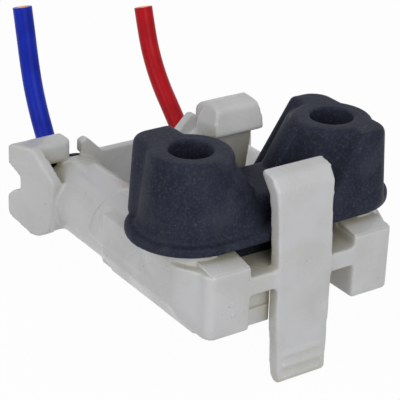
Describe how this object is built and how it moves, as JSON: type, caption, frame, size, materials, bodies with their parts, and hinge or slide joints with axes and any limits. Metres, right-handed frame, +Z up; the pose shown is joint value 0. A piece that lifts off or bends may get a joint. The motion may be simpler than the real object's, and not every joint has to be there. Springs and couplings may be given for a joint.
{
  "type": "pigtail connector",
  "caption": "Twin-tower electrical pigtail connector: off-white housing with a front and a rear latch, black rubber boot seal with two round sockets, and a blue and a red wire led out at the back.",
  "frame": {"origin": "midway between the axes of the two towers, level with the underside of the housing's side blocks", "axes": "+X across the connector from the blue wire's side to the red wire's side, +Y back along the barrels towards the wires, +Z up through the towers towards the mating device"},
  "size_m": [0.0466, 0.0674, 0.0421],
  "materials": {
    "housing": "off-white moulded nylon, satin",
    "boot_seal": "blue-black silicone rubber, matt",
    "wire_seal": "black rubber, matt",
    "terminal": "tin-plated brass",
    "strands": "bare stranded copper",
    "blue_insulation": "blue wire insulation, satin",
    "red_insulation": "red wire insulation, satin"
  },
  "bodies": {
    "root": {"housing": "housing", "boot_seal": "boot_seal", "wire_seal_left": "wire_seal", "wire_seal_right": "wire_seal", "terminal_left": "terminal", "terminal_right": "terminal", "blue_strands": "strands", "red_strands": "strands", "blue_wire_end": "blue_insulation", "red_wire_end": "red_insulation", "blue_wire": "blue_insulation", "red_wire": "red_insulation"}
  },
  "joints": []
}
